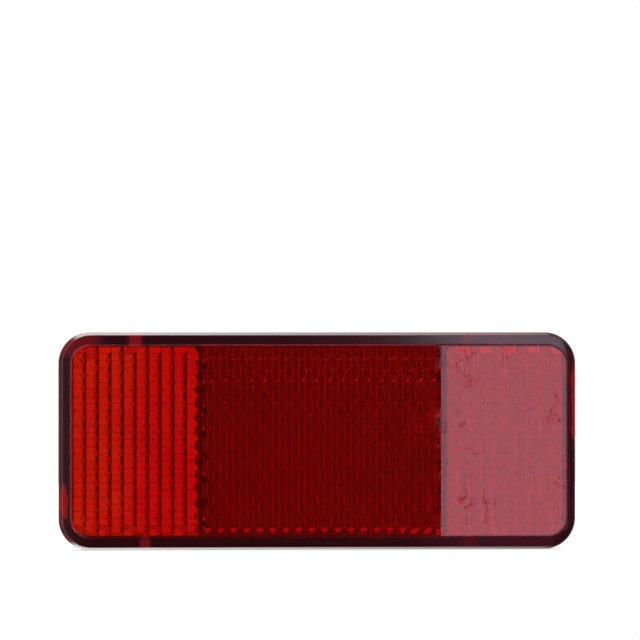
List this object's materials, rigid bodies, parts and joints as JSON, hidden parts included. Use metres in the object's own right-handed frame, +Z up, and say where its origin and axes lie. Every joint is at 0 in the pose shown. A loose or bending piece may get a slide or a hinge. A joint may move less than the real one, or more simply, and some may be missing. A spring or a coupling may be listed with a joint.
{
  "type": "bicycle rear reflector",
  "caption": "Red rectangular rear reflector for a bicycle, with a prismatic lens welded to a hollow black housing and a threaded stud and nut to fix it to a bracket.",
  "frame": {"origin": "on the bolt's axis, in the plane of the raised cross on the housing's rear face, which a bracket is clamped against", "axes": "+X along the long side, +Y out of the back along the bolt, +Z up; the lens faces -Y"},
  "size_m": [0.1, 0.0207, 0.0418],
  "materials": {
    "red_lens": "clear red acrylic, smooth in front, cube-corner prisms behind",
    "black_plastic": "moulded black ABS, satin, with faint flow marks",
    "yellow_zinc_steel": "yellow zinc plate on steel",
    "white_zinc_steel": "bright white zinc plate on steel"
  },
  "bodies": {
    "reflector": {"lens": "red_lens", "housing": "black_plastic", "bolt": "yellow_zinc_steel"},
    "nut": {"nut": "white_zinc_steel"}
  },
  "joints": [
    {"name": "nut_run", "type": "slide", "parent": "reflector", "child": "nut", "axis": [0, 1, 0], "range_m": [-0.0068, 0.0033]}
  ]
}
